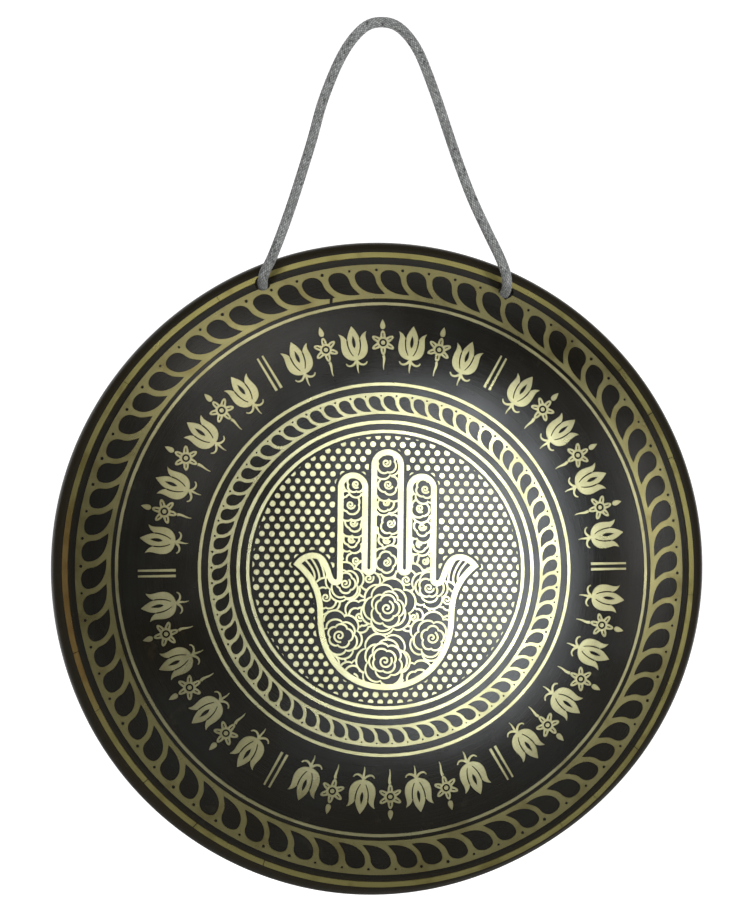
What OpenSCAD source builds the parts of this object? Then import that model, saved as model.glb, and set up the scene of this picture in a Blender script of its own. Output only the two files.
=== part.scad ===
// Tam tam gong: one spun brass sheet with a raised pattern, hung on one cord.
// Z is up, the face looks along -Y, and the origin is where a hook bears, inside the cord's loop.

/* [Gong disc] */
// Overall diameter of the disc
gong_d = 450; // [430:5:480]
// Thickness of the sheet
sheet = 2; // [1:0.2:3]
// Radius of the flat middle of the face
flat_r = 120; // [100:1:122]
// Radius of the long arc that curves the face back, from the flat middle to the shoulder
crown_arc = 500; // [450:10:600]
// Outside radius of the shoulder between face and lip
shoulder_r = 9; // [8:0.5:10]
// Inward lean of the lip, in degrees
lip_lean = 8; // [0:1:12]
// Depth of the disc from the flat face to the rear edge
gong_depth = 38; // [34:1:50]

/* [Raised pattern] */
// Height of the bright pattern above the dark face
relief = 0.4; // [0.2:0.1:1]
// Turn of the pattern against the cord holes, clockwise from the front, in degrees
pattern_turn = 0.9; // [0:0.1:5]
// Turn of the leaf borders, anticlockwise from the front, in degrees
border_turn = 0.75; // [0:0.05:5]
// Teardrops in each leaf border
leaves = 70; // [30:1:80]
// Sections of the frieze between double bars
frieze_sections = 6; // [3:1:8]

/* [Hand emblem] */
// Width of the bright line around the hand
stroke = 3.8; // [2:0.2:4]
// Height of the middle finger's tip above the disc's centre
hand_top = 81.5; // [75:0.5:86]

/* [Hanging] */
// Diameter of the braided cord
cord_d = 7; // [6:0.5:8]
// Diameter of the two cord holes
hole_d = 10; // [9.5:0.1:10.4]
// Diameter of each stopper knot
knot_d = 20; // [16:0.5:21]
// Length of each stopper knot
knot_len = 16; // [12:1:18]

/* [Hidden] */

$fn = 96;
gong_r = gong_d / 2;
// Where the disc's flat face stands in the frame of the hook
gong_drop = 371;
face_y = -8.8;
through = 60;
// The cord holes, not quite a pair: degrees clockwise from the top of the disc, and distance from its centre
holes = [[-23, 211.3], [23.8, 209.3]];

// The face's arcs: the crown's centre is on the flat radius, and the shoulder lies inside it
crown_c = [flat_r, -crown_arc];
lean_a = asin((gong_r - shoulder_r - flat_r) / (crown_arc - shoulder_r));
shoulder_c = crown_c + (crown_arc - shoulder_r) * [sin(lean_a), cos(lean_a)];

// One teardrop as four curves, in shares of a leaf's pitch and of the border's width
drop_left = [0, 0.64];
drop_top = [0.36, 0.84];
drop_waist = [0.80, 0.54];
drop_tip = [1.16, 0.13];
drop_curves = [
    [drop_left, [0, 0.76], [0.14, 0.84], drop_top],
    [drop_top, [0.62, 0.84], [0.78, 0.70], drop_waist],
    [drop_waist, [0.83, 0.36], [1.00, 0.26], drop_tip],
    [drop_tip, [0.50, 0.08], [0, 0.30], drop_left]];
drop_steps = 4;

// Right half of a frieze bud, from its base over the side petal's tip to its own tip
bud_tip = [0, 23.5];
bud_curves = [
    [[0, 0], [5, 0], [9, 3], [9, 9]],
    [[9, 9], [9, 13], [7.6, 15.5], [9.6, 19]],
    [[9.6, 19], [6.4, 17.8], [4.8, 15.6], [4.2, 13]],
    [[4.2, 13], [4.2, 17], [2.4, 20], bud_tip]];
bud_steps = 4;

// Hand emblem
middle_r = 11;
finger_r = 10.2;
finger_top = 65.4;
// Gap between two fingers
slit = 2.2;
thumb_tip = [63, 3];
// Rounding of the outline's points
tip_round = 0.6;
// Right half of the palm's edge, from the notch beside the outer finger, over the thumb, to the bottom
palm_curves = [
    [[34.8, -7], [38, -7], [38, 11], [49.5, 11]],
    [[49.5, 11], [55, 11], [60, 8], thumb_tip],
    [thumb_tip, [50, -7], [46.5, -18], [46.5, -32]],
    [[46.5, -32], [46.5, -62], [26, -81.5], [0, -81.5]]];
palm_steps = 8;

// Route of the cord from the left knot over the hook to the right knot
knot_y = 3.6;
route = [
    [-82.6, knot_y, -177], [-82.6, 2.4, -177], [-82.6, 0.8, -176.7], [-82.6, -0.8, -176.2],
    [-82.4, -4.6, -174.4], [-81.6, -7.8, -171.7], [-79.8, -10.1, -168.1], [-77.7, -11.4, -164.2],
    [-75, -11.5, -158], [-68.5, -10.4, -141], [-61.9, -9.1, -122], [-54.9, -7.7, -100],
    [-48.5, -6.2, -79], [-42.2, -4.6, -56], [-34, -3, -34], [-26.3, -1.9, -18],
    [-18.3, -1.1, -6.5], [-9.7, -0.5, 1.1], [0, 0, cord_d / 2], [9.1, -0.5, 1.4],
    [17.2, -1.1, -5.5], [24.7, -1.9, -17], [31.1, -3, -33], [38, -4.3, -53],
    [44.9, -5.8, -75], [52.1, -7.4, -97], [60, -9, -118.5], [69.6, -10.4, -140],
    [77.7, -11.3, -157], [81.8, -11.4, -167.1], [83.1, -10.1, -171.1], [84, -7.8, -174.7],
    [84.4, -4.6, -177.4], [84.5, -0.8, -179.2], [84.5, 0.8, -179.7], [84.5, 2.4, -180],
    [84.5, knot_y, -180]];
cord_sides = 10;

brass = "#b9a54c";
patina = "#34342f";
grey = "#8b8b86";

function unit(v) = v / norm(v);
function bezier(c, s) = pow(1 - s, 3) * c[0] + 3 * s * pow(1 - s, 2) * c[1]
    + 3 * s * s * (1 - s) * c[2] + pow(s, 3) * c[3];
// Points along a chain of curves, without each curve's last point
function along(curves, steps) = [for (c = curves) for (k = [0 : steps - 1]) bezier(c, k / steps)];

// ---- The disc as a body of revolution, drawn as radius against height in front of the flat face ----

// Everything behind the face, moved inward by t, down to the depth end
module behind_face(t, end) {
    crown_end = crown_c + (crown_arc - t) * [sin(lean_a), cos(lean_a)];
    lip_top = shoulder_c + (shoulder_r - t) * [cos(lip_lean), -sin(lip_lean)];
    lip_end = [lip_top[0] - (end + lip_top[1]) * tan(lip_lean), -end];
    rotate_extrude() polygon([[0, -t], [flat_r, -t], crown_end, shoulder_c, lip_top, lip_end, [0, -end]]);
    rotate_extrude() intersection() {
        translate(crown_c) circle(crown_arc - t);
        polygon([[flat_r, -end], [flat_r, relief + 1], crown_c + 1.01 * (crown_end - crown_c), shoulder_c]);
    }
    rotate_extrude() translate(shoulder_c) circle(shoulder_r - t);
}

// Stands a shape drawn in the face's own plane in its place on the hanging gong
module on_gong() {
    translate([0, face_y, -gong_drop]) rotate([90, 0, 0]) children();
}

// A raised ring that follows the face
module raised_ring(r_in, r_out) {
    difference() {
        intersection() {
            behind_face(-relief, gong_depth);
            cylinder(r = r_out, h = through, center = true);
        }
        behind_face(0, gong_depth + 1);
        cylinder(r = r_in, h = 2 * through, center = true);
    }
}

// A flat outline as a prism right through the face's depth
module through_face() {
    translate([0, 0, -through / 2]) linear_extrude(through) children();
}

// ---- Gong disc ----

// Drills for both cord holes
module drills() {
    for (h = holes) rotate(-h[0]) translate([0, h[1]]) cylinder(d = hole_d, h = through, center = true);
}

module gong_disc() {
    color(patina) on_gong() difference() {
        behind_face(0, gong_depth);
        behind_face(sheet, gong_depth + 1);
        drills();
    }
}

// ---- Plain raised rings ----

module outer_band() {
    color(brass) on_gong() difference() {
        raised_ring(213.5, 217.1);
        drills();
    }
}
module fine_ring() { color(brass) on_gong() raised_ring(179.8, 181.8); }
module inner_ring() { color(brass) on_gong() raised_ring(124.8, 126.8); }
module middle_ring() { color(brass) on_gong() raised_ring(99, 101.2); }
module medallion_ring() { color(brass) on_gong() raised_ring(92.6, 94.7); }

// ---- Leaf borders: a raised ring pierced by teardrops whose tails trail clockwise ----

function polar(share, r_in, r_out) =
    let (a = 90 - share[0] * 360 / leaves, r = r_in + share[1] * (r_out - r_in)) r * [cos(a), sin(a)];

module leaf_border(r_in, r_out) {
    drop = [for (p = along(drop_curves, drop_steps)) polar(p, r_in, r_out)];
    difference() {
        raised_ring(r_in, r_out);
        for (k = [0 : leaves - 1]) rotate(border_turn + k * 360 / leaves) through_face() polygon(drop);
    }
}

module outer_leaf_border() {
    color(brass) on_gong() difference() {
        leaf_border(184.5, 208.4);
        drills();
    }
}
module inner_leaf_border() { color(brass) on_gong() leaf_border(105.6, 120.1); }

// ---- Frieze: buds and rosettes between double radial bars ----

function mirrored(p) = concat(p, [for (k = [len(p) - 1 : -1 : 1]) [-p[k][0], p[k][1]]]);

// A half-open bud between two side petals, its base at the origin
module bud() { polygon(mirrored(concat(along(bud_curves, bud_steps), [bud_tip]))); }

module rosette() {
    polygon([for (a = [0 : 12 : 348]) (6.2 + 2.2 * cos(6 * a)) * [sin(a), cos(a)]]);
}

module frieze_section() {
    pitch = 7.3;
    for (side = [-1, 1]) rotate(-28.5) translate([1.9 * side, 154]) square([1.7, 25], center = true);
    for (k = [-3 : 3]) rotate(-k * pitch + 1.5)
        if (k % 2 == 0) translate([0, 154]) rosette();
        else translate([0, 143]) bud();
}

module frieze() {
    color(brass) on_gong() intersection() {
        raised_ring(134, 175);
        through_face() for (k = [0 : frieze_sections - 1])
            rotate(-pattern_turn - k * 360 / frieze_sections) frieze_section();
    }
}

// ---- Hand emblem: the bright line around an open hand ----

module finger(x, top, r) {
    translate([x - r, -10]) square([2 * r, top - r + 10]);
    translate([x, top - r]) circle(r);
}

module hand_shape() {
    offset(r = tip_round, $fn = 32) offset(delta = -tip_round) {
        polygon(mirrored(concat([[0, -7]], along(palm_curves, palm_steps), [[0, -81.5]])));
        translate([-middle_r - slit, -20]) square([2 * (middle_r + slit), 20]);
        finger(0, hand_top, middle_r);
        for (side = [-1, 1]) finger(side * (middle_r + slit + finger_r), finger_top, finger_r);
    }
}

module hand_emblem() {
    color(brass) on_gong() rotate(-pattern_turn) linear_extrude(relief) difference() {
        hand_shape();
        offset(delta = -stroke, $fn = 32) hand_shape();
    }
}

// ---- Cord and knots ----

function tangent(p, i) = unit(p[min(i + 1, len(p) - 1)] - p[max(i - 1, 0)]);
// A side direction for each ring, carried along the route without twist
function side_ways(p, i, last) = i == len(p) ? []
    : let (t = tangent(p, i), w = unit(last - (last * t) * t)) concat([w], side_ways(p, i + 1, w));

module tube(p, d, sides) {
    ways = side_ways(p, 0, [1, 0, 0]);
    rings = [for (i = [0 : len(p) - 1]) for (k = [0 : sides - 1])
        let (a = 360 * k / sides) p[i] + d / 2 * (cos(a) * ways[i] + sin(a) * cross(tangent(p, i), ways[i]))];
    walls = [for (i = [0 : len(p) - 2]) for (k = [0 : sides - 1])
        let (a = i * sides + k, b = i * sides + (k + 1) % sides)
        each [[a, b + sides, b], [a, a + sides, b + sides]]];
    start = [for (k = [0 : sides - 1]) k];
    end = [for (k = [sides - 1 : -1 : 0]) (len(p) - 1) * sides + k];
    polyhedron(rings, concat(walls, [start, end]));
}

module hanging_cord() { color(grey) tube(route, cord_d, cord_sides); }

// A knot as a round lump with flat ends, behind the sheet at one end of the route
module knot(at) {
    color(grey) translate(at) rotate([-90, 0, 0]) intersection() {
        cylinder(d = knot_d, h = knot_len);
        translate([0, 0, knot_len / 2]) sphere(r = knot_len / 2 + 2.5);
    }
}

module knot_left() { knot(route[0]); }
module knot_right() { knot(route[len(route) - 1]); }

gong_disc();
outer_band();
outer_leaf_border();
fine_ring();
frieze();
inner_ring();
inner_leaf_border();
middle_ring();
medallion_ring();
hand_emblem();
hanging_cord();
knot_left();
knot_right();
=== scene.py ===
"""Tam tam gong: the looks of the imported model.

Everything is in metres in the row frame: +Z up, the gong's face looks along -Y, and the origin is where
a hook bears inside the cord's loop. Outlines on the face are drawn in millimetres from the gong's centre,
x to the right and z up as seen from the front, and angles on the face run clockwise from the top.
"""
import math
import random

import bpy
import numpy as np
from mathutils import Matrix, Vector
from mathutils.geometry import delaunay_2d_cdt


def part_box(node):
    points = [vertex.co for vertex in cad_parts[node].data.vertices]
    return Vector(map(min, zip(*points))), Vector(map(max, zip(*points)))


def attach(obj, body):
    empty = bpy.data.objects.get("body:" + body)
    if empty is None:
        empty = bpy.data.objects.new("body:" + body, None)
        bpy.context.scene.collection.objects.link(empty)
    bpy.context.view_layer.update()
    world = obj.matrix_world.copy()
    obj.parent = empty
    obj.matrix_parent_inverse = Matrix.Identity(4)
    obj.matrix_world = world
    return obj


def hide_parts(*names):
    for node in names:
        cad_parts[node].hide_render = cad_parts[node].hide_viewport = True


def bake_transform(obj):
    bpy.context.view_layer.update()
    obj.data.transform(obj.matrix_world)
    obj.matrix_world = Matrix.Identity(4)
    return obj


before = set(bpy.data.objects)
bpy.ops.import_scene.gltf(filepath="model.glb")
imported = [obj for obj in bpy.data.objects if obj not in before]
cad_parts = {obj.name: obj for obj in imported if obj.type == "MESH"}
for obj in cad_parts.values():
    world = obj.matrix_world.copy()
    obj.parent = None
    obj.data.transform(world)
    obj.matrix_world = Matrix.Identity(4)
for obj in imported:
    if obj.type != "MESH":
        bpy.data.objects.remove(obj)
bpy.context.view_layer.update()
scene = bpy.context.scene

# ---------------------------------------------------------------- the gong's place and section

MM = 0.001
disc_low, disc_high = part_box("gong_disc")
CENTRE = Vector(((disc_low.x + disc_high.x) / 2, disc_low.y, (disc_low.z + disc_high.z) / 2))
GONG_R = (disc_high.x - disc_low.x) / 2 / MM
DEPTH = (disc_high.y - disc_low.y) / MM
FLAT_R = 120.0
CROWN_ARC = 500.0
SHOULDER_R = 9.0
LIP_LEAN = math.radians(8)
SHEET = 2.0
HOLES = ((math.radians(-23.0), 211.3), (math.radians(23.8), 209.3))
HOLE_D = 10.0
RELIEF = 0.4
PATTERN_TURN = math.radians(0.9)
TURN = 2 * math.pi

LEAN_A = math.asin((GONG_R - SHOULDER_R - FLAT_R) / (CROWN_ARC - SHOULDER_R))
CROWN_END = FLAT_R + CROWN_ARC * math.sin(LEAN_A)
SHOULDER_X = GONG_R - SHOULDER_R
SHOULDER_Y = CROWN_ARC - (CROWN_ARC - SHOULDER_R) * math.cos(LEAN_A)


def slope(r):
    """The face's lean from flat at radius r in mm, over the crown and on to the shoulder, in radians."""
    r = np.asarray(r, float)
    crown = np.arcsin(np.clip((r - FLAT_R) / CROWN_ARC, 0, math.sin(LEAN_A)))
    shoulder = np.arcsin(np.clip((r - SHOULDER_X) / SHOULDER_R, math.sin(LEAN_A), 1))
    return np.where(r <= CROWN_END, crown, shoulder)


def depth(r):
    """How far in mm the face lies behind its flat middle at radius r."""
    lean = slope(r)
    crown = CROWN_ARC * (1 - np.cos(lean))
    return np.where(np.asarray(r) <= CROWN_END, crown, SHOULDER_Y - SHOULDER_R * np.cos(lean))


def on_face(xz, lift):
    """Row-frame points for outline points in millimetres, lift above the dark face."""
    xz = np.asarray(xz, float)
    r = np.hypot(xz[:, 0], xz[:, 1])
    lean = slope(r)
    grow = 1 + lift * np.sin(lean) / np.maximum(r, 1e-6)
    y = depth(r) - lift * np.cos(lean)
    return np.column_stack([xz[:, 0] * grow, y, xz[:, 1] * grow]) * MM + np.array(CENTRE)


def polar(angle, r):
    """Outline points at those angles and radii."""
    return np.array([r * np.sin(angle), r * np.cos(angle)]).T


def turned(xz, angle):
    """Outline points turned clockwise about the gong's centre."""
    c, s = math.cos(angle), math.sin(angle)
    xz = np.asarray(xz, float)
    return np.column_stack([xz[:, 0] * c + xz[:, 1] * s, xz[:, 1] * c - xz[:, 0] * s])


# ---------------------------------------------------------------- camera

VIEW_YAW = math.radians(5.7)
VIEW_ROLL = math.radians(0.3)
VIEW_DISTANCE = 0.919
LENS_MM = 53.6
VIEW_SHIFT = (-0.0082, 0.1246)
VIEW_LEFT, VIEW_RAISE = 0.0045, 0.0005


def make_camera():
    """Level with the gong's centre, a little to its left, the frame shifted up to take in the loop."""
    data = bpy.data.cameras.new("view")
    data.lens = LENS_MM
    data.sensor_width = 36
    data.shift_x, data.shift_y = VIEW_SHIFT
    camera = bpy.data.objects.new("view", data)
    scene.collection.objects.link(camera)
    ahead = Vector((math.sin(VIEW_YAW), math.cos(VIEW_YAW), 0))
    right = Vector((math.cos(VIEW_YAW), -math.sin(VIEW_YAW), 0))
    up = Vector((0, 0, 1))
    roll = Matrix.Rotation(VIEW_ROLL, 3, ahead)
    turn = Matrix((roll @ right, roll @ up, -ahead)).transposed()
    place = CENTRE - VIEW_DISTANCE * ahead - VIEW_LEFT * right + VIEW_RAISE * up
    camera.matrix_world = Matrix.Translation(place) @ turn.to_4x4()
    scene.camera = camera


make_camera()

# ---------------------------------------------------------------- node helpers


class Nodes:
    """Short ways to build a material's node tree."""

    def __init__(self, name):
        self.material = bpy.data.materials.new(name)
        self.material.use_nodes = True
        self.tree = self.material.node_tree
        self.tree.nodes.clear()
        output = self.new("ShaderNodeOutputMaterial")
        self.shader = self.new("ShaderNodeBsdfPrincipled")
        self.tree.links.new(self.shader.outputs[0], output.inputs[0])

    def new(self, kind, **settings):
        node = self.tree.nodes.new(kind)
        for key, value in settings.items():
            setattr(node, key, value)
        return node

    def join(self, value, socket):
        """Links an output socket to an input, or sets the input's constant."""
        if isinstance(value, bpy.types.NodeSocket):
            self.tree.links.new(value, socket)
        elif isinstance(value, tuple) and len(value) == 3 and socket.type == "RGBA":
            socket.default_value = (*value, 1)
        else:
            socket.default_value = value

    def math(self, operation, a, b=0.0, c=0.0):
        node = self.new("ShaderNodeMath", operation=operation)
        for k, value in enumerate((a, b, c)):
            self.join(value, node.inputs[k])
        return node.outputs[0]

    def between(self, value, low, high, to_low=0.0, to_high=1.0):
        node = self.new("ShaderNodeMapRange", interpolation_type="SMOOTHSTEP")
        for k, v in enumerate((value, low, high, to_low, to_high)):
            self.join(v, node.inputs[k])
        return node.outputs[0]

    def mix(self, factor, a, b, blend="MIX"):
        node = self.new("ShaderNodeMix", data_type="RGBA", blend_type=blend)
        self.join(factor, node.inputs[0])
        self.join(a, node.inputs[6])
        self.join(b, node.inputs[7])
        return node.outputs[2]

    def combine(self, x, y, z=0.0):
        node = self.new("ShaderNodeCombineXYZ")
        for k, value in enumerate((x, y, z)):
            self.join(value, node.inputs[k])
        return node.outputs[0]

    def noise(self, vector, scale, detail=2.0, rough=0.5):
        node = self.new("ShaderNodeTexNoise")
        self.join(vector, node.inputs["Vector"])
        node.inputs["Scale"].default_value = scale
        node.inputs["Detail"].default_value = detail
        node.inputs["Roughness"].default_value = rough
        return node.outputs[0]

    def object_mm(self):
        """Position in the row frame in millimetres, from the gong's centre."""
        coords = self.new("ShaderNodeTexCoord").outputs["Object"]
        move = self.new("ShaderNodeVectorMath", operation="SUBTRACT")
        self.join(coords, move.inputs[0])
        move.inputs[1].default_value = CENTRE
        scale = self.new("ShaderNodeVectorMath", operation="SCALE")
        self.join(move.outputs[0], scale.inputs[0])
        scale.inputs["Scale"].default_value = 1 / MM
        return scale.outputs[0]

    def polar(self):
        """(radius in mm, angle clockwise from the top in turns, x, depth, z) on the gong."""
        split = self.new("ShaderNodeSeparateXYZ")
        self.join(self.object_mm(), split.inputs[0])
        x, y, z = split.outputs
        squares = self.math("ADD", self.math("MULTIPLY", x, x), self.math("MULTIPLY", z, z))
        radius = self.math("SQRT", squares)
        angle = self.math("DIVIDE", self.math("ARCTAN2", x, z), TURN)
        return radius, angle, x, y, z

    def bump(self, height, strength, distance, normal=None):
        node = self.new("ShaderNodeBump")
        self.join(height, node.inputs["Height"])
        node.inputs["Strength"].default_value = strength
        node.inputs["Distance"].default_value = distance
        if normal is not None:
            self.join(normal, node.inputs["Normal"])
        return node.outputs[0]

    def round_tangent(self):
        """Stretches the gloss round the gong's axis, as lathe marks do."""
        node = self.new("ShaderNodeTangent", direction_type="RADIAL", axis="Y")
        self.join(node.outputs[0], self.shader.inputs["Tangent"])

    def put(self, **sockets):
        for name, value in sockets.items():
            self.join(value, self.shader.inputs[name.replace("_", " ")])


# ---------------------------------------------------------------- mesh helpers


def new_object(name, verts, faces, material, sharp=30.0):
    """A smooth mesh object, sharp only where faces meet at more than that many degrees."""
    mesh = bpy.data.meshes.new(name)
    mesh.from_pydata([tuple(v) for v in verts], [], faces)
    mesh.validate()
    mesh.update()
    mesh.shade_smooth()
    mesh.set_sharp_from_angle(angle=math.radians(sharp))
    mesh.materials.append(material)
    piece = bpy.data.objects.new(name, mesh)
    scene.collection.objects.link(piece)
    return piece


def catmull(points, steps):
    """A smooth line through the points, steps stretches between each two."""
    p = np.asarray(points, float)
    p = np.vstack([2 * p[0] - p[1], p, 2 * p[-1] - p[-2]])
    out = []
    for i in range(1, len(p) - 2):
        a, b, c, d = p[i - 1:i + 3]
        for t in np.arange(steps) / steps:
            out.append(0.5 * (2 * b + (c - a) * t + (2 * a - 5 * b + 4 * c - d) * t * t
                              + (3 * b - a - 3 * c + d) * t ** 3))
    return np.array(out + [p[-2]])


def evenly(points, step):
    """The line's points again, one every step metres."""
    p = np.asarray(points, float)
    run = np.concatenate([[0], np.cumsum(np.linalg.norm(np.diff(p, axis=0), axis=1))])
    at = np.linspace(0, run[-1], max(2, round(run[-1] / step) + 1))
    return np.column_stack([np.interp(at, run, p[:, k]) for k in range(p.shape[1])])


def carried_frames(line, side):
    """A side direction at each point, carried along the line without twist, and the tangents."""
    tangents = np.gradient(line, axis=0)
    tangents /= np.linalg.norm(tangents, axis=1)[:, None]
    ways, last = [], np.asarray(side, float)
    for t in tangents:
        last = last - (last @ t) * t
        last /= np.linalg.norm(last)
        ways.append(last)
    return np.array(ways), tangents


# ---------------------------------------------------------------- cord

CORD_D = 0.007
ROUTE = [
    (-82.6, 3.6, -177), (-82.6, 2.4, -177), (-82.6, 0.8, -176.7), (-82.6, -0.8, -176.2),
    (-82.4, -4.6, -174.4), (-81.6, -7.8, -171.7), (-79.8, -10.1, -168.1), (-77.7, -11.4, -164.2),
    (-75, -11.5, -158), (-68.5, -10.4, -141), (-61.9, -9.1, -122), (-54.9, -7.7, -100),
    (-48.5, -6.2, -79), (-42.2, -4.6, -56), (-34, -3, -34), (-26.3, -1.9, -18),
    (-18.3, -1.1, -6.5), (-9.7, -0.5, 1.1), (0, 0, 3.5), (9.1, -0.5, 1.4),
    (17.2, -1.1, -5.5), (24.7, -1.9, -17), (31.1, -3, -33), (38, -4.3, -53),
    (44.9, -5.8, -75), (52.1, -7.4, -97), (60, -9, -118.5), (69.6, -10.4, -140),
    (77.7, -11.3, -157), (81.8, -11.4, -167.1), (83.1, -10.1, -171.1), (84, -7.8, -174.7),
    (84.4, -4.6, -177.4), (84.5, -0.8, -179.2), (84.5, 0.8, -179.7), (84.5, 2.4, -180),
    (84.5, 3.6, -180)]

STRANDS_ROUND = 12
CELL_LENGTH = 0.0027
RING_STEP = 0.0004
TUBE_SIDES = 72
BRAID_DEPTH = 0.0006


def braid_height(around, along):
    """Height from 0 to 1 of a plain braid's surface; around and along count strands."""
    a, b = around + along, around - along
    over = (np.floor(a) + np.floor(b)) % 2 == 0
    fa, fb = a - np.floor(a), b - np.floor(b)
    across, run = np.where(over, fa, fb), np.where(over, fb, fa)
    return np.sqrt(np.clip(1 - (2 * across - 1) ** 2, 0, 1)) * (0.45 + 0.55 * np.sin(math.pi * run))


def braided_tube(name, line, material, side=(1, 0, 0), start=0.0, end_round=0.0):
    """A tube along line whose skin is a plain braid. UVs hold the strand counts around and along."""
    line = evenly(line, RING_STEP)
    ways, tangents = carried_frames(line, side)
    run = start + np.arange(len(line)) * RING_STEP
    k = np.arange(TUBE_SIDES)
    angle = TURN * k / TUBE_SIDES
    around = STRANDS_ROUND * k[None, :] / TUBE_SIDES
    along = np.repeat(run[:, None] / CELL_LENGTH, TUBE_SIDES, axis=1)
    height = braid_height(around, along)
    radius = CORD_D / 2 - BRAID_DEPTH * (1 - height)
    if end_round:
        left = np.clip((run[-1] - run) / end_round, 0, 1)[:, None]
        radius = radius * np.sqrt(np.clip(1 - (1 - left) ** 2, 0.0004, 1))
    across = np.cross(tangents, ways)
    spokes = (np.cos(angle)[None, :, None] * ways[:, None, :]
              + np.sin(angle)[None, :, None] * across[:, None, :])
    verts = line[:, None, :] + radius[..., None] * spokes
    rings = len(line)
    faces = [(i * TUBE_SIDES + j, i * TUBE_SIDES + (j + 1) % TUBE_SIDES,
              (i + 1) * TUBE_SIDES + (j + 1) % TUBE_SIDES, (i + 1) * TUBE_SIDES + j)
             for i in range(rings - 1) for j in range(TUBE_SIDES)]
    faces.append(tuple(range(TUBE_SIDES - 1, -1, -1)))
    faces.append(tuple((rings - 1) * TUBE_SIDES + j for j in range(TUBE_SIDES)))
    piece = new_object(name, verts.reshape(-1, 3), faces, material, sharp=60)
    layer = piece.data.uv_layers.new(name="strands")
    count = np.empty(len(piece.data.loops), dtype=np.int32)
    piece.data.loops.foreach_get("vertex_index", count)
    u = (count % TUBE_SIDES) * STRANDS_ROUND / TUBE_SIDES
    v = run[count // TUBE_SIDES] / CELL_LENGTH
    wrap = np.zeros(len(count), bool)
    quads = (rings - 1) * TUBE_SIDES
    last = (np.arange(quads) % TUBE_SIDES) == TUBE_SIDES - 1
    wrap[:quads * 4] = np.repeat(last, 4)
    u = np.where(wrap & (count % TUBE_SIDES == 0), STRANDS_ROUND, u)
    layer.data.foreach_set("uv", np.column_stack([u, v]).astype(np.float32).ravel())
    return piece, line


def cord_material():
    """Grey yarn strands, each its own tone, with painted shade in the hollows between them, and fibres,
    flecks and a little grime.
    """
    n = Nodes("cord_braid")
    uv = n.new("ShaderNodeUVMap", uv_map="strands").outputs[0]
    split = n.new("ShaderNodeSeparateXYZ")
    n.join(uv, split.inputs[0])
    u, v = split.outputs[0], split.outputs[1]
    a, b = n.math("ADD", u, v), n.math("SUBTRACT", u, v)
    over = n.math("FLOORED_MODULO", n.math("ADD", n.math("FLOOR", a), n.math("FLOOR", b)), 2.0)
    fa, fb = n.math("FRACT", a), n.math("FRACT", b)
    under = n.math("SUBTRACT", 1.0, over)
    across = n.math("ADD", n.math("MULTIPLY", fa, under), n.math("MULTIPLY", fb, over))
    ends = n.math("ADD", n.math("MULTIPLY", fb, under), n.math("MULTIPLY", fa, over))
    # Painted shade: the hollows at the strands' sides and ends are darkened in the colour.
    edge = n.between(n.math("ABSOLUTE", n.math("SUBTRACT", across, 0.5)), 0.22, 0.5)
    tip = n.between(n.math("ABSOLUTE", n.math("SUBTRACT", ends, 0.5)), 0.25, 0.5)
    crevice_shade = n.math("MAXIMUM", edge, n.math("MULTIPLY", tip, 0.8))
    mm = n.object_mm()
    cell = n.new("ShaderNodeTexWhiteNoise", noise_dimensions="3D")
    n.join(n.combine(n.math("FLOOR", a), n.math("FLOOR", b), over), cell.inputs[0])
    tone = n.mix(cell.outputs[0], (0.36, 0.36, 0.351), (0.92, 0.92, 0.895))
    strand = n.combine(n.math("MULTIPLY", across, 9.0), n.math("MULTIPLY", ends, 1.2), cell.outputs[0])
    fibre = n.noise(strand, 3.0, 3.0)
    tone = n.mix(n.between(fibre, 0.35, 0.65, 0.0, 0.45), tone, (0.85, 0.85, 0.82))
    tone = n.mix(n.math("MULTIPLY", crevice_shade, 0.70), tone, (0.035, 0.035, 0.034))
    fleck = n.between(n.noise(mm, 0.45, 2.0, 0.6), 0.56, 0.66, 0.0, 0.7)
    tone = n.mix(fleck, tone, (0.060, 0.060, 0.058))
    grime = n.between(n.noise(mm, 0.05, 3.0), 0.4, 0.7, 0.0, 0.2)
    n.put(Base_Color=n.mix(grime, tone, (0.16, 0.155, 0.14)), Roughness=0.9,
          Normal=n.bump(fibre, 0.5, 0.0003))
    n.shader.inputs["Sheen Weight"].default_value = 0.25
    n.shader.inputs["Sheen Roughness"].default_value = 0.5
    n.shader.inputs["Specular IOR Level"].default_value = 0.25
    return n.material


KNOT_LEAN = math.radians(6)
KNOT_SPIN = math.radians(23)
KNOT_WRAPS, WRAP_R = 2.2, 7.3
CORE_STEP = 4.0


def overhand(at, side):
    """The line of a stopper knot behind the sheet: rearward, wrapped round itself, and a short tail."""
    points = [(0, CORE_STEP * k, 0) for k in range(6)]
    for k in range(27):
        share = k / 26
        angle = TURN * KNOT_WRAPS * share
        x, z = WRAP_R * math.sin(angle) * side, WRAP_R * (math.cos(angle) * 0.98)
        points.append((x, 21.5 - 13.5 * share, z))
    last = points[-1]
    points.append((last[0] * 1.25, last[1] - 1.0, last[2] - 6))
    points.append((last[0] * 1.45, last[1] + 1.0, last[2] - 13))
    line = catmull(points, 8) * MM
    lean = Matrix.Rotation(-KNOT_LEAN, 3, "X")
    spin = Matrix.Rotation(side * KNOT_SPIN, 3, "Y")
    turn = np.array(spin @ lean)
    return line @ turn.T + np.array(at) * MM


def make_cord(material):
    """The cord from knot to knot, with its stopper knots."""
    line = catmull(ROUTE, 12) * MM
    piece, path = braided_tube("hanging_cord_braid", line, material)
    for name, at, side in (("left", ROUTE[0], -1), ("right", ROUTE[-1], 1)):
        knot, _ = braided_tube(f"stopper_knot_{name}", overhand(at, side), material, end_round=0.0012)
        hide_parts(f"knot_{name}")
        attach(knot, "gong")
    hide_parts("hanging_cord")
    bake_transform(piece)


make_cord(cord_material())


# ---------------------------------------------------------------- metals

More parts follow.
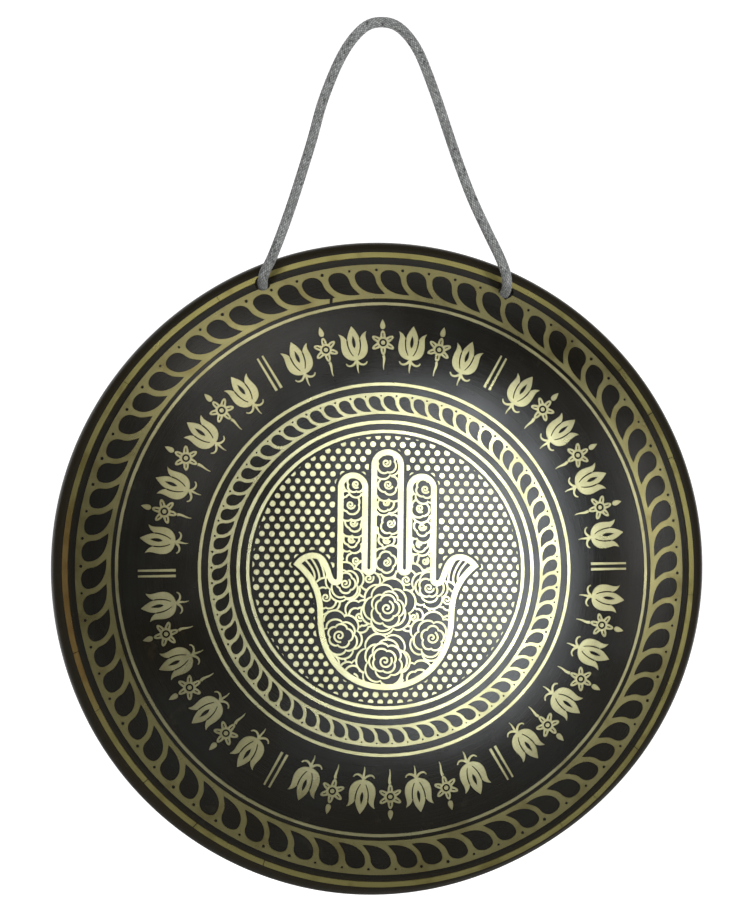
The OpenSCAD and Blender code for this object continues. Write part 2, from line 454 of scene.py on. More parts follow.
def spin_marks(n, radius, x, z, fine):
    """Lathe marks: noise that runs round the gong, fine across it."""
    far = n.math("MAXIMUM", radius, 1.0)
    round_x, round_z = n.math("DIVIDE", x, far), n.math("DIVIDE", z, far)
    return n.noise(n.combine(n.math("MULTIPLY", radius, fine), round_x, round_z), 1.0, 3.0, 0.6)


def patina_material():
    """Smooth, near-black brown patina over the brass, with fine lathe marks and a little rubbing."""
    n = Nodes("dark_patina")
    radius, _, x, y, z = n.polar()
    mm = n.object_mm()
    marks = spin_marks(n, radius, x, z, 2.4)
    broad = spin_marks(n, radius, x, z, 0.16)
    cloud = n.noise(mm, 0.014, 3.0)
    tone = n.mix(n.between(cloud, 0.38, 0.62), (0.014, 0.010, 0.003), (0.016, 0.015, 0.011))
    tone = n.mix(n.between(broad, 0.35, 0.65, 0.0, 0.5), tone, (0.009, 0.007, 0.003))
    tone = n.mix(n.between(marks, 0.55, 0.75, 0.0, 0.30), tone, (0.050, 0.046, 0.034))
    rim = n.between(radius, 209.0, 214.0)
    tone = n.mix(n.math("MULTIPLY", rim, 0.6), tone, (0.030, 0.022, 0.008))
    back = n.between(y, 10.0, 16.0, 0.0, 0.6)
    tone = n.mix(back, tone, (0.060, 0.040, 0.018))
    rub = n.between(n.noise(mm, 0.06, 4.0, 0.65), 0.60, 0.78, 0.0, 0.25)
    tone = n.mix(rub, tone, (0.09, 0.075, 0.035))
    rough = n.math("ADD", n.between(n.noise(mm, 0.03, 4.0), 0.3, 0.7, 0.18, 0.26),
                   n.between(radius, 213.0, 219.0, 0.0, 0.24))
    normal = n.bump(marks, 0.12, 0.0002)
    normal = n.bump(n.noise(mm, 0.02, 2.0), 0.12, 0.002, normal)
    n.put(Base_Color=tone, Metallic=0.0, Roughness=rough, Normal=normal)
    n.shader.inputs["Specular IOR Level"].default_value = 0.38
    n.shader.inputs["Anisotropic"].default_value = 0.5
    n.round_tangent()
    return n.material


def brass_material():
    """Brushed brass, duller and darker from the leaf borders outward, partly its own tone and partly
    painted shade, yellow on the band, coppery at the left edge.
    """
    n = Nodes("bright_brass")
    radius, angle, x, _, z = n.polar()
    mm = n.object_mm()
    marks = spin_marks(n, radius, x, z, 3.1)
    tone = n.mix(n.between(n.noise(mm, 0.03, 3.0), 0.35, 0.65), (0.64, 0.61, 0.35), (0.70, 0.67, 0.41))
    # Partly painted shade: the brass is darkened from the middle ring outward and on both leaf borders,
    # partly the brass's own tone and partly the shade of the outer face.
    dull_and_shaded_tone = (0.36, 0.32, 0.13)
    tone = n.mix(n.between(radius, 96.0, 104.0, 0.0, 0.3), tone, dull_and_shaded_tone)
    border = n.math("MULTIPLY", n.between(radius, 182.0, 184.0), n.between(radius, 209.0, 213.0, 0.75, 0.0))
    tone = n.mix(border, tone, dull_and_shaded_tone)
    inner = n.math("MULTIPLY", n.between(radius, 103.0, 105.0), n.between(radius, 120.5, 122.5, 0.5, 0.0))
    tone = n.mix(inner, tone, (0.34, 0.32, 0.19))
    tone = n.mix(n.between(radius, 210.0, 213.0, 0.0, 0.6), tone, (0.52, 0.45, 0.10))
    stain = n.between(n.noise(mm, 0.035, 3.0, 0.6), 0.50, 0.70, 0.0, 0.5)
    stain = n.math("MULTIPLY", stain, n.between(radius, 120.0, 200.0, 0.15, 1.0))
    tone = n.mix(stain, tone, (0.19, 0.14, 0.042))
    left = n.between(n.math("ABSOLUTE", n.math("ADD", angle, 0.27)), 0.02, 0.07, 1.0, 0.0)
    copper = n.math("MULTIPLY", left, n.between(radius, 208.0, 213.0, 0.0, 0.6))
    tone = n.mix(copper, tone, (0.55, 0.26, 0.09))
    tone = n.mix(n.between(marks, 0.35, 0.62, 0.22, 0.0), tone, (0.30, 0.24, 0.08))
    rough = n.between(n.noise(mm, 0.05, 3.0), 0.3, 0.7, 0.27, 0.36)
    normal = n.bump(marks, 0.15, 0.00015)
    n.put(Base_Color=tone, Metallic=1.0, Roughness=rough, Normal=normal)
    n.shader.inputs["Anisotropic"].default_value = 0.4
    n.round_tangent()
    return n.material


patina = patina_material()
brass = brass_material()

# ---------------------------------------------------------------- gong sheet

ROUND_STEPS = 720
DENTS = (  # angle and spread in degrees, and how far in mm the rim is pulled in there
    (65, 42, -1.7), (2, 25, -0.6), (150, 28, 2.7), (232, 32, -1.0), (284, 22, -0.8), (342, 12, -0.3))
DENTS_FROM, DENTS_OVER = 217.5, 5.0
HOLE_STEPS = 48


def section():
    """The sheet's section as (radius, depth) in mm, from the face's flat round to the back's."""
    def side(t, wall):
        flat = [(r, t) for r in np.linspace(0, FLAT_R, 13)[1:]]
        crown = [(FLAT_R + (CROWN_ARC - t) * math.sin(a), CROWN_ARC - (CROWN_ARC - t) * math.cos(a))
                 for a in np.linspace(0, LEAN_A, 50)[1:]]
        bends = np.linspace(LEAN_A, math.pi / 2 + LIP_LEAN, 22)[1:]
        bend = [(SHOULDER_X + (SHOULDER_R - t) * math.sin(a), SHOULDER_Y - (SHOULDER_R - t) * math.cos(a))
                for a in bends]
        r, d = bend[-1]
        lip = [(r - (e - d) * math.tan(LIP_LEAN), e) for e in np.linspace(d, wall, 7)[1:]]
        return flat + crown + bend + lip

    half = SHEET / 2
    front = side(0, DEPTH - half * (1 + math.sin(LIP_LEAN)))
    out = np.array([math.cos(LIP_LEAN), math.sin(LIP_LEAN)])
    back_way = np.array([-math.sin(LIP_LEAN), math.cos(LIP_LEAN)])
    middle = np.array(front[-1]) - half * out
    edge = [tuple(middle + half * (math.cos(a) * out + math.sin(a) * back_way))
            for a in np.linspace(0, math.pi, 9)[1:]]
    inner = side(SHEET, edge[-1][1])[::-1]
    return front + edge + inner[1:]


def make_sheet():
    """The spun sheet, its rim a little out of round as beaten by hand."""
    profile = section()
    angles = TURN * np.arange(ROUND_STEPS) / ROUND_STEPS
    pull = np.zeros(ROUND_STEPS)
    for at, spread, dent in DENTS:
        away = (np.degrees(angles) - at + 180) % 360 - 180
        pull += dent * np.exp(-(away / spread) ** 2)
    rings = []
    for r, d in profile:
        share = min(max((r - DENTS_FROM) / DENTS_OVER, 0), 1)
        far = r - pull * share
        ring_y = np.full(ROUND_STEPS, d)
        rings.append(np.column_stack([far * np.sin(angles), ring_y, far * np.cos(angles)]))
    count = len(profile)
    verts = np.vstack([[(0, 0, 0)]] + rings + [[(0, SHEET, 0)]]) * MM + np.array(CENTRE)
    faces = []
    for i in range(count - 1):
        a, b = 1 + i * ROUND_STEPS, 1 + (i + 1) * ROUND_STEPS
        for j in range(ROUND_STEPS):
            k = (j + 1) % ROUND_STEPS
            faces.append((a + k, a + j, b + j, b + k))
    last = 1 + (count - 1) * ROUND_STEPS
    for j in range(ROUND_STEPS):
        k = (j + 1) % ROUND_STEPS
        faces.append((0, 1 + j, 1 + k)[::-1])
        faces.append((last + ROUND_STEPS, last + k, last + j)[::-1])
    sheet = new_object("gong_sheet", verts, faces, patina, sharp=40)
    cutters = []
    for hole_angle, hole_ring in HOLES:
        a = TURN * np.arange(HOLE_STEPS) / HOLE_STEPS
        x = hole_ring * math.sin(hole_angle) + HOLE_D / 2 * np.cos(a)
        z = hole_ring * math.cos(hole_angle) + HOLE_D / 2 * np.sin(a)
        ends = [np.column_stack([x, np.full(HOLE_STEPS, y), z]) for y in (-10.0, 30.0)]
        walls = [(j, (j + 1) % HOLE_STEPS, HOLE_STEPS + (j + 1) % HOLE_STEPS, HOLE_STEPS + j)
                 for j in range(HOLE_STEPS)]
        walls += [tuple(range(HOLE_STEPS))[::-1], tuple(range(HOLE_STEPS, 2 * HOLE_STEPS))]
        cutter = new_object("cutter", np.vstack(ends) * MM + np.array(CENTRE), walls, patina)
        cut = sheet.modifiers.new("hole", "BOOLEAN")
        cut.operation = "DIFFERENCE"
        cut.solver = "FAST"
        cut.object = cutter
        cutters.append(cutter)
    bpy.context.view_layer.update()
    pierced = bpy.data.meshes.new_from_object(sheet.evaluated_get(bpy.context.evaluated_depsgraph_get()))
    sheet.modifiers.clear()
    sheet.data = pierced
    for cutter in cutters:
        bpy.data.objects.remove(cutter)
    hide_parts("gong_disc")
    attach(sheet, "gong")


make_sheet()

# ---------------------------------------------------------------- raised metal

WALL_STEPS = ((0.30, 0.10), (-0.05, 0.20))


def ccw(loop):
    """The loop, run anticlockwise."""
    loop = np.asarray(loop, float)
    ahead = np.roll(loop, -1, axis=0)
    area = np.sum(loop[:, 0] * ahead[:, 1] - ahead[:, 0] * loop[:, 1])
    return loop if area > 0 else loop[::-1]


class Relief:
    """A drawing of raised metal in layers. In a layer, the last loop painted over a point decides it."""

    def __init__(self):
        self.points, self.loops, self.paint, self.bounds = [], [], {}, []

    def add(self, loop):
        start = len(self.points)
        self.points.extend(Vector(p) for p in ccw(loop))
        self.loops.append(list(range(start, len(self.points))))
        return len(self.loops) - 1

    def layer(self, painted, inside=None, outside=None):
        """painted is a list of (loop, raised). inside and outside are loops that clip the layer."""
        number = len(self.bounds)
        for loop, raised in painted:
            self.paint[self.add(loop)] = (number, raised)
        self.bounds.append((None if inside is None else self.add(inside),
                            None if outside is None else self.add(outside)))

    def is_raised(self, owners):
        top = {}
        for k in sorted(owners):
            if k in self.paint:
                number, raised = self.paint[k]
                top[number] = raised
        for number, raised in top.items():
            inside, outside = self.bounds[number]
            kept = inside is None or inside in owners
            cleared = outside is None or outside not in owners
            if raised and kept and cleared:
                return True
        return False

    def solve(self):
        """The raised area as points in mm and triangles."""
        points, _, faces, _, _, owners = delaunay_2d_cdt(self.points, [], self.loops, 0, 1e-4)
        raised = np.array([f for f, own in zip(faces, owners) if self.is_raised(own)])
        used, inverse = np.unique(raised, return_inverse=True)
        return np.array([points[k] for k in used]), inverse.reshape(raised.shape)

    def build(self, name, *replaced):
        """Makes the closed raised solid, its edges a little rounded, and puts it on the gong."""
        xz, tris = self.solve()
        count = len(xz)
        edges = {(int(a), int(b)) for t in tris for a, b in ((t[0], t[1]), (t[1], t[2]), (t[2], t[0]))}
        rim = np.array(sorted(e for e in edges if (e[1], e[0]) not in edges))
        way = xz[rim[:, 1]] - xz[rim[:, 0]]
        way /= np.maximum(np.linalg.norm(way, axis=1), 1e-9)[:, None]
        out = np.zeros((count, 2))
        for side in (0, 1):
            np.add.at(out, rim[:, side], np.column_stack([way[:, 1], -way[:, 0]]))
        out /= np.maximum(np.linalg.norm(out, axis=1), 1e-9)[:, None]
        rows = [on_face(xz, RELIEF)]
        rows += [on_face(xz + out * spread, lift) for lift, spread in WALL_STEPS]
        verts = np.vstack(rows)
        a, b = rim[:, 0], rim[:, 1]
        walls = [np.column_stack([b + k * count, a + k * count, a + (k + 1) * count, b + (k + 1) * count])
                 for k in (0, 1)]
        bottom = tris[:, ::-1] + 2 * count
        faces = tris.tolist() + walls[0].tolist() + walls[1].tolist() + bottom.tolist()
        mids = set(rim.ravel().tolist())
        keep = np.array([k < count or k >= 2 * count or (k - count) in mids for k in range(3 * count)])
        order = np.cumsum(keep) - 1
        faces = [tuple(order[list(f)].tolist()) for f in faces]
        mesh = bpy.data.meshes.new(name)
        mesh.from_pydata(verts[keep].tolist(), [], faces)
        mesh.shade_smooth()
        r = np.hypot(xz[:, 0], xz[:, 1])
        lean = slope(r)
        up = np.column_stack([np.sin(lean) * xz[:, 0] / np.maximum(r, 1e-6), -np.cos(lean),
                              np.sin(lean) * xz[:, 1] / np.maximum(r, 1e-6)])
        side = np.column_stack([out[:, 0], np.zeros(count), out[:, 1]])
        tilt = [up * 0.75 + side * 0.66, up * 0.3 + side * 0.95, side]
        normals = [up[tris.ravel()]]
        for k in (0, 1):
            corners = [tilt[k][b], tilt[k][a], tilt[k + 1][a], tilt[k + 1][b]]
            normals.append(np.stack(corners, axis=1).reshape(-1, 3))
        normals.append(-up[tris[:, ::-1].ravel()])
        mesh.normals_split_custom_set(np.vstack(normals).tolist())
        mesh.materials.append(brass)
        piece = bpy.data.objects.new(name, mesh)
        scene.collection.objects.link(piece)
        if replaced:
            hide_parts(*replaced)
        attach(piece, "gong")


WANDER_WAVES = (7, 13, 29, 47, 83, 131)
HOLE_CLEAR = 0.25


def circle(r, steps=ROUND_STEPS, at=(0, 0), turn=0.0):
    a = TURN * np.arange(steps) / steps + turn
    return np.column_stack([at[0] + r * np.sin(a), at[1] + r * np.cos(a)])


def worn(r, seed, amount=0.10):
    """A circle whose edge wanders a little, as etched by hand."""
    a = TURN * np.arange(ROUND_STEPS) / ROUND_STEPS
    rng = random.Random(seed)
    wander = sum(rng.uniform(0.3, 1) / 3 * np.sin(k * a + rng.uniform(0, TURN)) for k in WANDER_WAVES)
    return polar(a, r + amount * wander)


def arc_quad(angle, wide, r_in, r_out, shear=0.0):
    """A small four-sided patch across a ring at an angle in degrees, wide in mm."""
    half = wide / 2
    a_in, a_out = math.radians(angle), math.radians(angle) + shear / r_out
    corners = [(a_in - half / r_in, r_in), (a_in + half / r_in, r_in),
               (a_out + half / r_out, r_out), (a_out - half / r_out, r_out)]
    return np.array([[r * math.sin(a), r * math.cos(a)] for a, r in corners])


def bezier(curves, steps):
    """Points along a chain of curves, without the last point."""
    out = []
    for c in np.asarray(curves, float):
        for s in np.arange(steps) / steps:
            out.append((1 - s) ** 3 * c[0] + 3 * s * (1 - s) ** 2 * c[1]
                       + 3 * s * s * (1 - s) * c[2] + s ** 3 * c[3])
    return np.array(out)


def drills():
    """The cord holes as loops to leave flat, a little wider than the holes."""
    return [(circle(HOLE_D / 2 + HOLE_CLEAR, HOLE_STEPS, polar(*hole)), False) for hole in HOLES]


def ring(name, r_in, r_out, seed, *replaced, nicks=()):
    """A plain raised ring, nicked across at those angles in degrees."""
    relief = Relief()
    painted = [(worn(r_out, seed), True), (worn(r_in, seed + 1), False)]
    rng = random.Random(seed)
    for at in nicks:
        nick = arc_quad(at, rng.uniform(0.35, 0.8), r_in - 1, r_out + 1, rng.uniform(-0.8, 0.8))
        painted.append((nick, False))
    relief.layer(painted + drills())
    relief.build(name, *replaced)


NICKS = (50, 60, 69, 95, 125.5, 137.5, 145.5, 203, 217, 229, 244.5, 255.5, 306, 328.5)
ring("outer_band_raised", 213.5, 217.1, 11, "outer_band", nicks=NICKS)
ring("fine_ring_raised", 179.8, 181.8, 21, "fine_ring")
ring("inner_ring_raised", 124.8, 126.8, 31, "inner_ring")
ring("middle_ring_raised", 99.0, 101.2, 41, "middle_ring")
ring("medallion_ring_raised", 92.6, 94.7, 51, "medallion_ring")

# ---------------------------------------------------------------- leaf borders

LEAVES = 70
BORDER_TURN = math.radians(0.75)
DROP = [[(0, .64), (0, .76), (.14, .84), (.36, .84)], [(.36, .84), (.62, .84), (.78, .70), (.80, .54)],
        [(.80, .54), (.83, .36), (1.00, .26), (1.16, .13)], [(1.16, .13), (.50, .08), (0, .30), (0, .64)]]
DOT_AT = (0.845, 0.84)


def leaf_border(name, r_in, r_out, seed, dot, replaced, holes=False, breaks=()):
    """A raised ring with dark leaf-shaped drops and small dark dots cut out of it."""
    pitch = TURN / LEAVES
    shares = bezier(DROP, 9)
    rng = random.Random(seed)
    painted = [(worn(r_out, seed), True), (worn(r_in, seed + 1), False)]
    for k in range(LEAVES):
        at = k * pitch - BORDER_TURN
        jitter = rng.uniform(-0.02, 0.02)
        drop = polar(at + (shares[:, 0] + jitter) * pitch, r_in + shares[:, 1] * (r_out - r_in))
        painted.append((drop, False))
        middle = polar(at + (DOT_AT[0] + jitter) * pitch, r_in + DOT_AT[1] * (r_out - r_in))
        size = dot * rng.uniform(0.8, 1.15)
        painted.append((circle(size, 5, middle, at + rng.uniform(-0.4, 0.4)), False))
    if holes:
        painted += drills()
    for at in breaks:
        painted.append((arc_quad(at, 2.2, r_in - 1, r_in + 4.5, 1.5), False))
    relief = Relief()
    relief.layer(painted)
    relief.build(name, replaced)


leaf_border("outer_leaf_border_raised", 184.5, 208.4, 61, 1.25, "outer_leaf_border", True, (348.5,))
leaf_border("inner_leaf_border_raised", 105.6, 120.1, 71, 0.85, "inner_leaf_border")

# ---------------------------------------------------------------- hand emblem

HAND_STROKE = 3.8
MIDDLE_R, FINGER_R, SLIT = 11.0, 10.2, 2.2
MIDDLE_TOP, FINGER_TOP = 81.5, 65.4
PALM = [[(34.8, -7), (38, -7), (38, 11), (49.5, 11)], [(49.5, 11), (55, 11), (60, 8), (63, 3)],
        [(63, 3), (50, -7), (46.5, -18), (46.5, -32)], [(46.5, -32), (46.5, -62), (26, -81.5), (0, -81.5)]]


def hand_outline():
    """The hand's edge, anticlockwise in halves: middle finger, slit, outer finger, thumb, palm."""
    finger_x = MIDDLE_R + SLIT + FINGER_R
    right = []
    for a in np.linspace(0, math.pi / 2, 16):
        right.append((MIDDLE_R * math.sin(a), MIDDLE_TOP - MIDDLE_R + MIDDLE_R * math.cos(a)))
    for a in np.linspace(0, math.pi, 9):
        right.append((MIDDLE_R + SLIT / 2 * (1 - math.cos(a)), 0.6 - SLIT / 2 * math.sin(a) + 0.5))
    for a in np.linspace(-math.pi / 2, math.pi / 2, 25):
        right.append((finger_x + FINGER_R * math.sin(a), FINGER_TOP - FINGER_R + FINGER_R * math.cos(a)))
    right.append((finger_x + FINGER_R, -6.4))
    right.append((finger_x + FINGER_R + 0.6, -7))
    right += bezier(PALM, 16).tolist()
    left = [(-x, z) for x, z in right[1:]][::-1]
    return np.array(right + [(0, -81.5)] + left)


def dense(loop, step):
    """The closed loop again with points at most step apart."""
    out = []
    for p, q in zip(loop, np.roll(loop, -1, axis=0)):
        n = max(1, math.ceil(np.linalg.norm(q - p) / step))
        out += [p + (q - p) * k / n for k in range(n)]
    return np.array(out)


def distance_to(points, loop):
    """Distance of each point from the closed loop's line."""
    a, b = loop, np.roll(loop, -1, axis=0)
    best = np.full(len(points), np.inf)
    for p, q in zip(a, b):
        way = q - p
        t = np.clip(((points - p) @ way) / max(way @ way, 1e-12), 0, 1)
        best = np.minimum(best, np.linalg.norm(points - (p + t[:, None] * way), axis=1))
    return best


def offset_loop(loop, by):
    """The loop moved outward by that many mm, or inward where it is negative."""
    loop = dense(ccw(loop), 0.5)
    way = np.roll(loop, -1, axis=0) - loop
    way /= np.maximum(np.linalg.norm(way, axis=1), 1e-9)[:, None]
    out = np.column_stack([way[:, 1], -way[:, 0]])
    before = np.roll(out, 1, axis=0)
    moved = []
    for p, n0, n1 in zip(loop, before, out):
        turn = math.atan2(n0[0] * n1[1] - n0[1] * n1[0], n0 @ n1)
        steps = max(1, math.ceil(abs(turn) / 0.25))
        for k in range(steps + 1):
            c, s = math.cos(turn * k / steps), math.sin(turn * k / steps)
            moved.append(p + by * np.array([n0[0] * c - n0[1] * s, n0[0] * s + n0[1] * c]))
    moved = np.array(moved)
    return moved[distance_to(moved, loop) > abs(by) - 0.02]


def stroke(line, width, taper=0.0):
    """The outline of a pen stroke along an open line. taper from 0 to 1 thins it towards its end."""
    line = np.asarray(line, float)
    way = np.gradient(line, axis=0)
    way /= np.maximum(np.linalg.norm(way, axis=1), 1e-9)[:, None]
    side = np.column_stack([-way[:, 1], way[:, 0]])
    half = width / 2 * (1 - taper * np.linspace(0, 1, len(line)) ** 1.5)[:, None]
    return np.vstack([line + side * half, (line - side * half)[::-1]])


def rose(at, size, turn, petals, rows):
    """A rose seen from above: rows of scalloped petals round a spiral, painted from the outside in."""
    at = np.asarray(at, float)
    painted = []
    a = TURN * np.arange(200) / 200
    for row in range(rows):
        r = size * (1 - row * 0.74 / rows)
        count = max(3, petals - (row + 1) // 2)
        phase = turn + row * math.pi / petals * 1.25
        scallop = np.abs(np.sin(count * (a + phase) / 2)) ** 0.6
        sway = 1 + 0.07 * np.sin(a + phase * 3) + 0.04 * np.sin(2 * a + phase)
        for extra, raised in ((PEN / 2, True), (-PEN / 2, False)):
            far = r * (0.80 + 0.22 * scallop) * sway + extra
            painted.append((np.column_stack([at[0] + far * np.sin(a), at[1] + far * np.cos(a)]), raised))
    s = np.linspace(0, 1, 40)
    far = size * 0.25 * (1 - s) + 0.3
    round_s = turn + TURN * 1.5 * s
    spiral = np.column_stack([at[0] + far * np.sin(round_s), at[1] + far * np.cos(round_s)])
    painted.append((stroke(spiral, PEN * 0.9), True))
    return painted


PEN = 1.2
PALM_ROSES = [  # centre x, centre z, radius, turn, petals of the outer row, rows; the last lie on top
    (-12, -6, 12, 1.1, 5, 2), (13.5, -7, 12.5, 2.3, 5, 2), (0, 5, 11, 0.2, 5, 2),
    (-41, -19, 12, 0.8, 5, 2), (41.5, -20, 12, 1.9, 5, 2), (-18, -32, 11, 2.6, 5, 2),
    (19, -32, 11, 0.5, 5, 2), (-40, -64, 13, 1.7, 5, 2), (40.5, -63, 13.5, 0.9, 5, 2),
    (-22, -74, 13, 0.1, 5, 2), (23, -75, 13, 2.8, 5, 2), (-28, -9.5, 13, 0.7, 5, 3),
    (29, -12, 13, 1.6, 5, 3), (-31.5, -45, 16, 2.9, 6, 3), (31.5, -46, 16, 0.5, 6, 3),
    (0.5, -26, 18.5, 0.3, 6, 4), (-0.5, -62, 18.5, 1.0, 6, 4)]
THUMB_LINES = 6


def finger_roses(x, low, high, seed):
    """Overlapping small roses from a finger's foot to its tip."""
    rng = random.Random(seed)
    painted, z, side = [], low, 1
    while z < high:
        size = rng.uniform(8.5, 11.5)
        at = (x + side * rng.uniform(0.5, 3.0), z)
        painted += rose(at, size, rng.uniform(0, 3), rng.choice((4, 5)), 2)
        z += size * 1.3
        side = -side
    return painted


def hand():
    """The open hand: a thick outline filled with roses, with curved lines in the thumbs."""
    outline = hand_outline()
    inner = offset_loop(outline, -HAND_STROKE)
    roses = finger_roses(0, 8, 76, 4) + finger_roses(-23.4, 6, 60, 6) + finger_roses(23.4, 6, 60, 8)
    for x in (-1, 1):
        for k in range(THUMB_LINES):
            start = (x * (57 - 4.2 * k), 8.0 + 0.6 * k)
            end = (x * (50 - 2.6 * k), -8.5 - 2.4 * k)
            bow = x * (3.2 + 0.5 * k)
            leave, arrive = (start[0] - bow, start[1] - 3), (end[0] - bow * 1.4, end[1] + 5)
            roses.append((stroke(bezier([[start, leave, arrive, end]], 14), PEN), True))
    for at_x, at_z, size, turn, petals, rows in PALM_ROSES:
        roses += rose((at_x, at_z), size, turn, petals, rows)
    relief = Relief()
    relief.layer([(turned(outline, PATTERN_TURN), True), (turned(inner, PATTERN_TURN), False)])
    relief.layer([(turned(loop, PATTERN_TURN), raised) for loop, raised in roses],
                 inside=turned(offset_loop(outline, -3.4), PATTERN_TURN))
    relief.build("hand_raised", "hand_emblem")
    return outline


outline = hand()

# ---------------------------------------------------------------- dots round the hand

DOT_PITCH, DOT_ROW, DOT_R = 6.75, 5.13, 1.9
DOT_RISE = 2.7
DOTS_OUT, DOTS_CLIP, HAND_GAP = 94, 90.6, 2.0


def dots():
    """The field of dots between the hand and the medallion's ring, cut by both."""
    rng = random.Random(9)
    painted = []
    for row in range(-19, 20):
        for k in range(-15, 16):
            x = (k + 0.5 * ((row + 1) % 2)) * DOT_PITCH + rng.uniform(-0.12, 0.12)
            z = row * DOT_ROW + DOT_RISE + rng.uniform(-0.12, 0.12)
            if math.hypot(x, z) < DOTS_OUT:
                size = DOT_R * rng.uniform(0.93, 1.06)
                painted.append((turned(circle(size, 14, (x, z)), PATTERN_TURN), True))
    relief = Relief()
    relief.layer(painted, inside=circle(DOTS_CLIP, 180),
                 outside=turned(offset_loop(outline, HAND_GAP), PATTERN_TURN))
    relief.build("dots_raised")


dots()

# ---------------------------------------------------------------- frieze of buds and rosettes

SECTIONS = 6
MOTIF_PITCH = math.radians(7.3)
BAR_ANGLE = math.radians(28.5)
BUD_TIP = (0, 23.5)
BUD = [[(0, 0), (5, 0), (9, 3), (9, 9)], [(9, 9), (9, 13), (7.6, 15.5), (9.6, 19)],
       [(9.6, 19), (6.4, 17.8), (4.8, 15.6), (4.2, 13)], [(4.2, 13), (4.2, 17), (2.4, 20), BUD_TIP]]


def mirrored(half):
    """The closed outline whose right half is given from the bottom to the top."""
    return np.array(list(half) + [(-x, z) for x, z in half[:0:-1]])


def placed(loop, r, angle):
    """An outline drawn round (0, 0) with its top outward, put at that radius and angle."""
    return turned(np.asarray(loop, float) + (0, r), angle)


def bud():
    """A half-open bud on a thin stem, its petals parted by dark lines."""
    painted = [(mirrored(bezier(BUD, 8).tolist() + [BUD_TIP]), True)]
    for side in (-1, 1):
        part = bezier([[(side * 4.4, 14), (side * 4.6, 9), (side * 3.2, 5), (side * 1.2, 2.4)]], 12)
        painted.append((stroke(part, 1.0, 0.4), False))
        curl = bezier([[(side * 0.4, -0.6), (side * 2.4, -4), (side * 6.5, -4.5), (side * 7.4, -0.8)]], 14)
        painted.append((stroke(curl, 1.5, 0.6), True))
    heart = bezier([[(0, 8.2), (1.7, 10.2), (1.5, 13.5), (0, 17)]], 8).tolist() + [(0, 17)]
    painted.append((mirrored(heart), False))
    stem = bezier([[(0, 0.8), (1.3, -2.5), (-0.9, -5.5), (0.7, -9.5)]], 14)
    painted.append((stroke(stem, 1.8, 0.85), True))
    return painted


def rosette():
    """A six-petalled flower with a ringed eye, a drop above it and a long thin tail below."""
    a = TURN * np.arange(90) / 90
    far = 6.2 + 2.2 * np.cos(6 * a)
    painted = [(np.column_stack([far * np.sin(a), far * np.cos(a)]), True), (circle(2.7, 24), False),
               (circle(1.4, 18), True)]
    for k in range(6):
        painted.append((turned(stroke([(0, 4.0), (0, 6.6)], 0.8), TURN * k / 6), False))
    drop = bezier([[(0, 9.2), (2.4, 9.6), (2.2, 12.4), (0, 16)]], 8).tolist() + [(0, 16)]
    painted.append((mirrored(drop), True))
    tail = bezier([[(0, -8.8), (1.5, -11.5), (-1.0, -15), (0.4, -19.5)]], 14)
    painted.append((stroke(tail, 1.8, 0.85), True))
    return painted


def frieze():
    """Six sections of rosettes and buds in turn, parted by pairs of radial bars."""
    painted = []
    rng = random.Random(3)
    for section_number in range(SECTIONS):
        start = PATTERN_TURN + section_number * TURN / SECTIONS
        for side in (-1, 1):
            bar = np.array([(-0.85, -12.5), (0.85, -12.5), (0.6, 12.5), (-0.6, 12.5)]) + (1.9 * side, 0)
            painted.append((placed(bar, 154, start + BAR_ANGLE), True))
        for k in range(-3, 4):
            angle = start + k * MOTIF_PITCH - math.radians(1.5) + rng.uniform(-0.003, 0.003)
            drawn, r = (rosette(), 154) if k % 2 == 0 else (bud(), 143)
            painted += [(placed(loop, r, angle), raised) for loop, raised in drawn]
    relief = Relief()
    relief.layer(painted)
    relief.build("frieze_raised", "frieze")


frieze()

# ---------------------------------------------------------------- floor, light, finish

FLOOR_Z = -0.78
BACK_Y = 1.6
STAGE_FRONT, STAGE_TOP, STAGE_HALF, STAGE_BEND = -3.5, 3.0, 7.0, 0.7
GLOW_FROM, GLOW_TO = 0.50, 0.68
WHITE_SEEN, WHITE_CAST = 0.95, 0.12
SOFTBOX_AWAY = 2.2


def make_stage():
    """A pale floor that sweeps up into a backdrop, which glows behind the gong so that it looks white."""
    bend = STAGE_BEND
    line = [(STAGE_FRONT, FLOOR_Z), (BACK_Y - bend, FLOOR_Z)]
    line += [(BACK_Y - bend + bend * math.sin(a), FLOOR_Z + bend - bend * math.cos(a))
             for a in np.linspace(0, math.pi / 2, 24)[1:]]
    line.append((BACK_Y, STAGE_TOP))
    verts = [(x, y, z) for y, z in line for x in (-STAGE_HALF, STAGE_HALF)]
    faces = [(2 * k, 2 * k + 1, 2 * k + 3, 2 * k + 2) for k in range(len(line) - 1)]
    n = Nodes("pale_paper")
    place = n.new("ShaderNodeTexCoord").outputs["Object"]
    tone = n.mix(n.noise(place, 3.0), (0.50, 0.50, 0.50), (0.53, 0.53, 0.525))
    parts = n.new("ShaderNodeSeparateXYZ")
    n.join(place, parts.inputs[0])
    glow = n.between(parts.outputs[1], GLOW_FROM, GLOW_TO, 0.0, WHITE_SEEN)
    n.put(Base_Color=tone, Roughness=0.9, Emission_Color=(1.0, 1.0, 1.0), Emission_Strength=glow)
    stage = new_object("floor_and_backdrop", verts, faces, n.material, sharp=60)


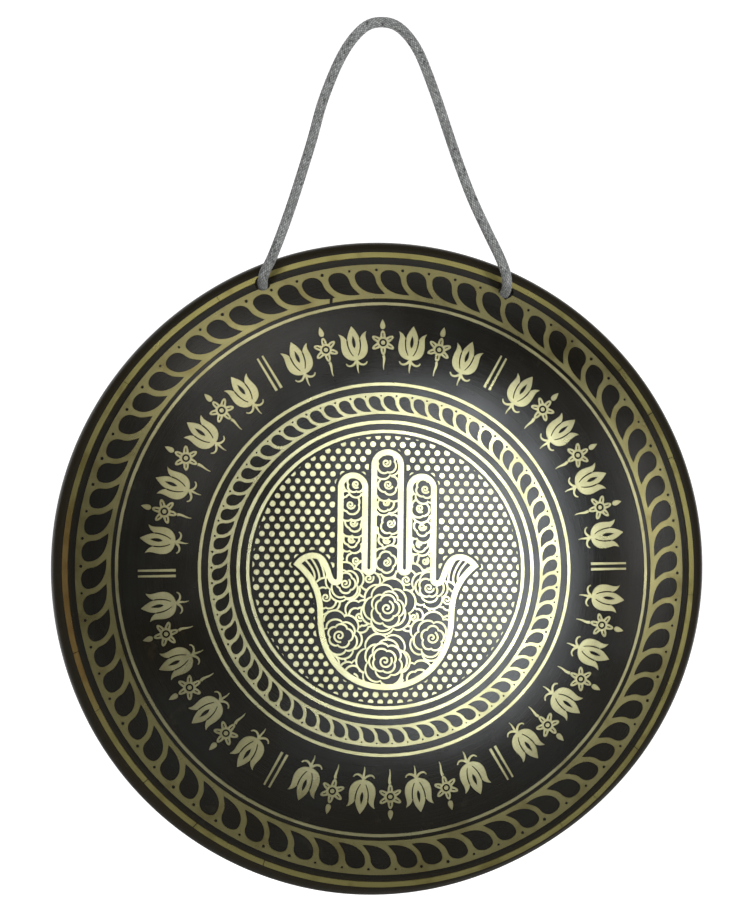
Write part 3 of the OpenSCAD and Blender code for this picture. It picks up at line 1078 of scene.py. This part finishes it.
def area_light(name, at, to, size, radiance, color=(1, 1, 1)):
    """A rectangular light whose surface has that radiance."""
    data = bpy.data.lights.new(name, "AREA")
    data.shape = "RECTANGLE"
    data.size, data.size_y = size
    data.energy = radiance * math.pi * size[0] * size[1]
    data.color = color
    light = bpy.data.objects.new(name, data)
    scene.collection.objects.link(light)
    light.location = at
    light.rotation_euler = (Vector(to) - Vector(at)).to_track_quat("-Z", "Y").to_euler()


def softbox(name, azimuth, elevation, size, radiance, color=(1, 1, 1)):
    """A light in front of the gong, at those degrees right of and above the face's normal."""
    a, e = math.radians(azimuth), math.radians(elevation)
    away = Vector((math.sin(a) * math.cos(e), -math.cos(a) * math.cos(e), math.sin(e)))
    area_light(name, CENTRE + SOFTBOX_AWAY * away, CENTRE, size, radiance, color)


def make_world():
    """A dim, even surround for the metal to reflect, which looks white where the camera sees it."""
    world = bpy.data.worlds.new("studio")
    world.use_nodes = True
    tree = world.node_tree
    shade = tree.nodes["Background"]
    shade.inputs[0].default_value = (0.97, 0.98, 1.0, 1)
    seen = tree.nodes.new("ShaderNodeMapRange")
    tree.links.new(tree.nodes.new("ShaderNodeLightPath").outputs["Is Camera Ray"], seen.inputs[0])
    seen.inputs[3].default_value = WHITE_CAST
    seen.inputs[4].default_value = WHITE_SEEN
    tree.links.new(seen.outputs[0], shade.inputs[1])
    scene.world = world


def make_light():
    make_world()
    softbox("softbox_right", 12.3, 1.7, (0.48, 0.88), 9.0, (0.90, 0.96, 1.0))
    softbox("softbox_top", -9.0, 24.0, (0.9, 0.35), 2.1, (1.0, 0.99, 0.96))
    softbox("softbox_high", 0.0, 40.0, (2.4, 0.4), 0.7, (1.0, 0.99, 0.96))
    softbox("softbox_upper_left", -8.0, 12.0, (0.35, 0.4), 2.2, (1.0, 0.99, 0.96))
    softbox("softbox_side", 36.0, 4.0, (0.4, 0.8), 2.2)
    softbox("fill_left", -45.0, 0.0, (0.4, 0.9), 0.25, (1.0, 0.98, 0.95))
    scene.view_settings.view_transform = "Standard"


make_stage()
make_light()
